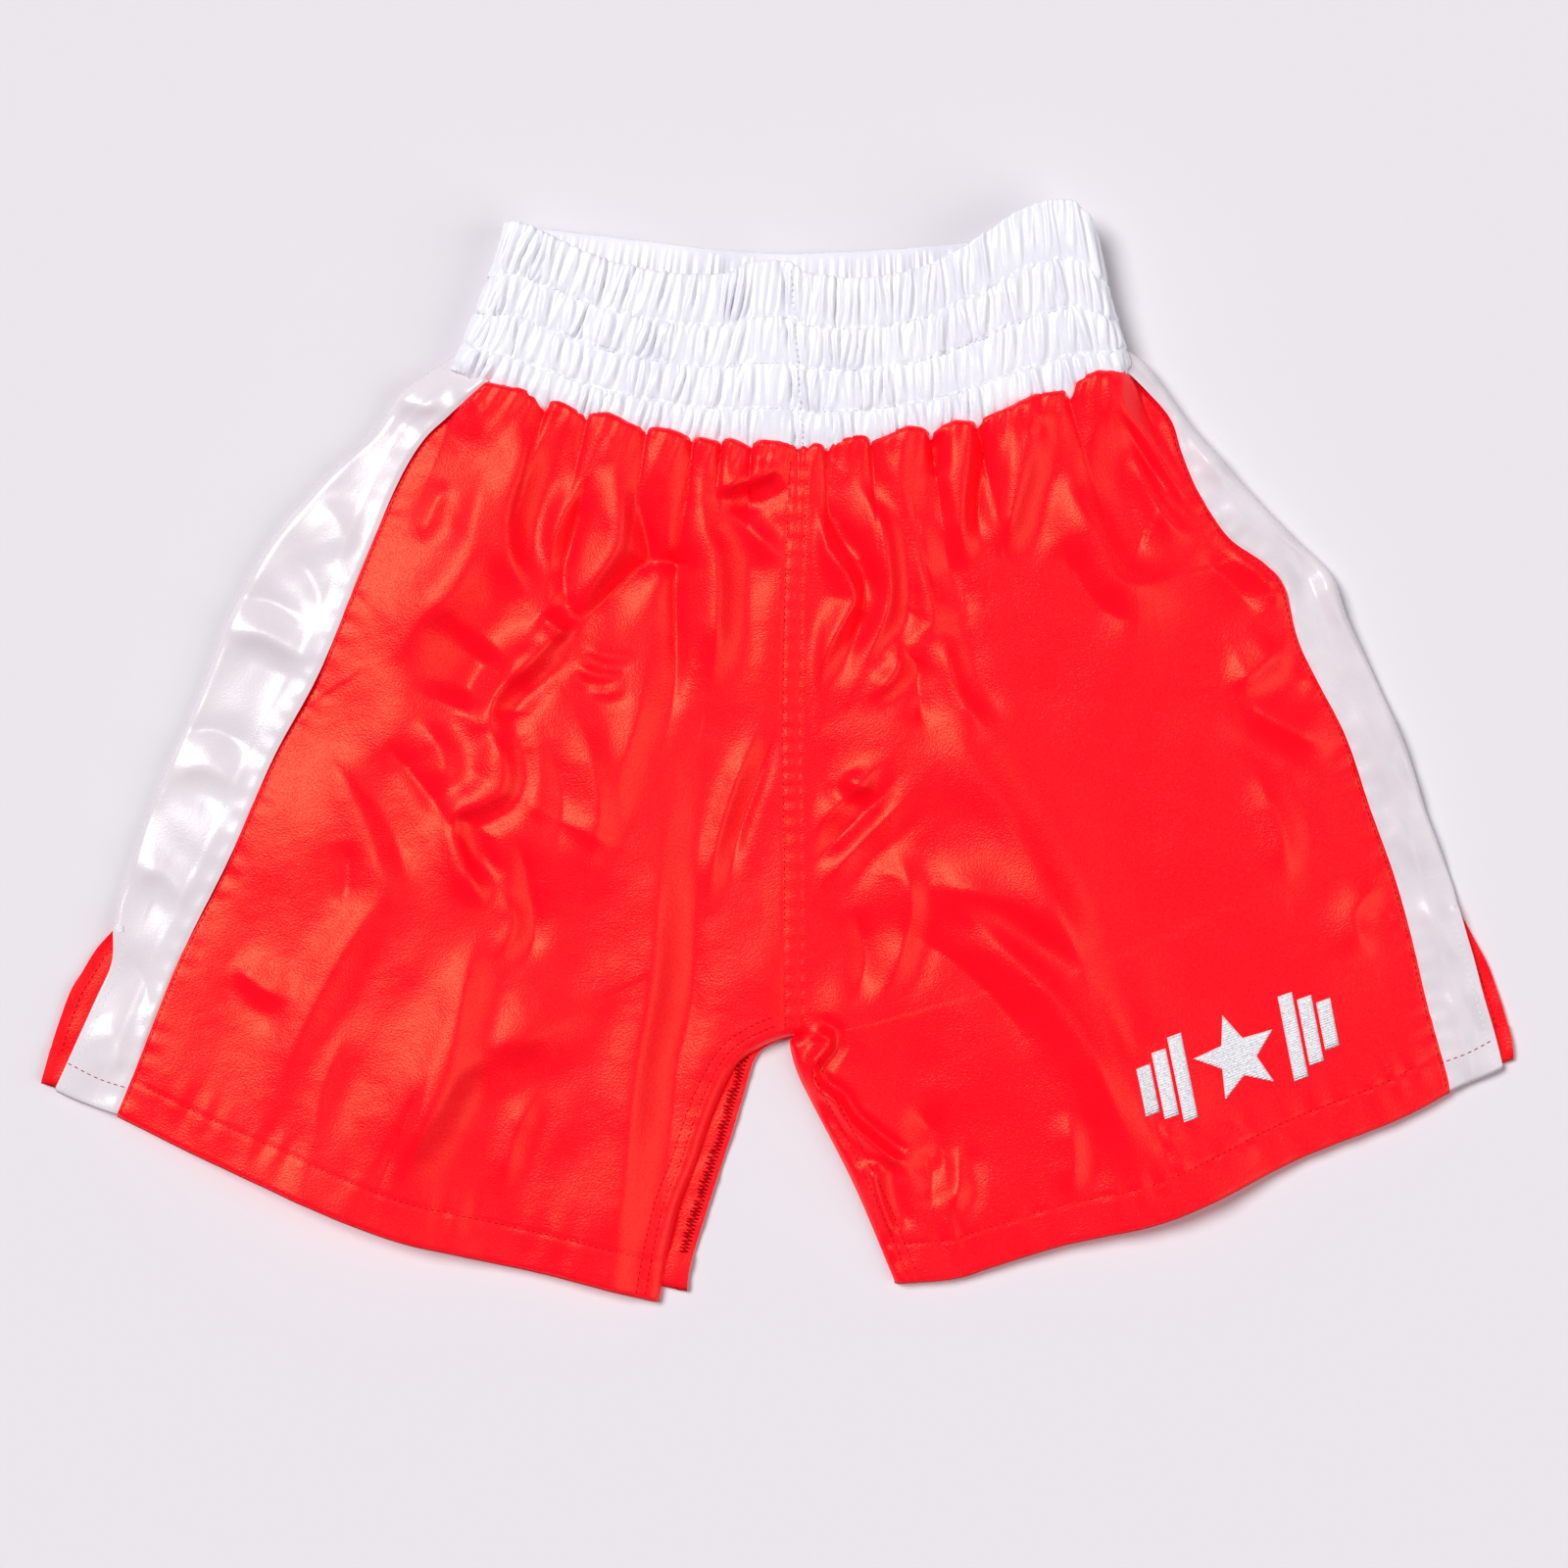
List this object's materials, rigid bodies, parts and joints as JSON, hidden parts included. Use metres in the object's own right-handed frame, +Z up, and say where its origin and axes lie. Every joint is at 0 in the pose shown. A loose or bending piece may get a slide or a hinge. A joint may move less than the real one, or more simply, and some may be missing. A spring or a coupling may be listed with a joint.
{
  "type": "boxing shorts",
  "caption": "Satin boxing shorts laid flat: ruched elastic waistband, contrast side stripes, split side hems, double stitched seams and an embroidered leg motif.",
  "frame": {"origin": "under the middle of the garment as it lies, on the surface it lies on", "axes": "+Z up from the back of the shorts to the front, +Y towards the waistband, +X towards the wearer's left leg"},
  "size_m": [0.8008, 0.592, 0.0265],
  "materials": {
    "red_satin": "polyester satin, glossy face",
    "white_satin": "polyester satin, glossy face",
    "elastic": "knitted elastic, matt",
    "red_thread": "polyester sewing thread",
    "white_thread": "polyester sewing thread",
    "backing": "non-woven stabiliser"
  },
  "bodies": {
    "root": {"front_panel_right": "red_satin", "front_panel_left": "red_satin", "back_panel_right": "red_satin", "back_panel_left": "red_satin", "side_stripe_right": "white_satin", "side_stripe_left": "white_satin", "waistband_satin": "white_satin", "elastic_row_1": "elastic", "elastic_row_2": "elastic", "elastic_row_3": "elastic", "elastic_row_4": "elastic", "centre_front_stitching": "red_thread", "centre_back_stitching": "red_thread", "stripe_seam_stitching_right": "red_thread", "stripe_seam_stitching_left": "red_thread", "inseam_stitching_right": "red_thread", "inseam_stitching_left": "red_thread", "inseam_overlock_right": "red_thread", "inseam_overlock_left": "red_thread", "hem_stitching_right": "red_thread", "hem_stitching_left": "red_thread", "waist_seam_stitching": "white_thread", "waistband_row_stitching": "white_thread", "waistband_join_stitching": "white_thread", "slit_stitching_right": "white_thread", "slit_stitching_left": "white_thread", "slit_bar_tacks": "white_thread", "embroidered_motif": "white_thread", "embroidery_backing": "backing"}
  },
  "joints": []
}
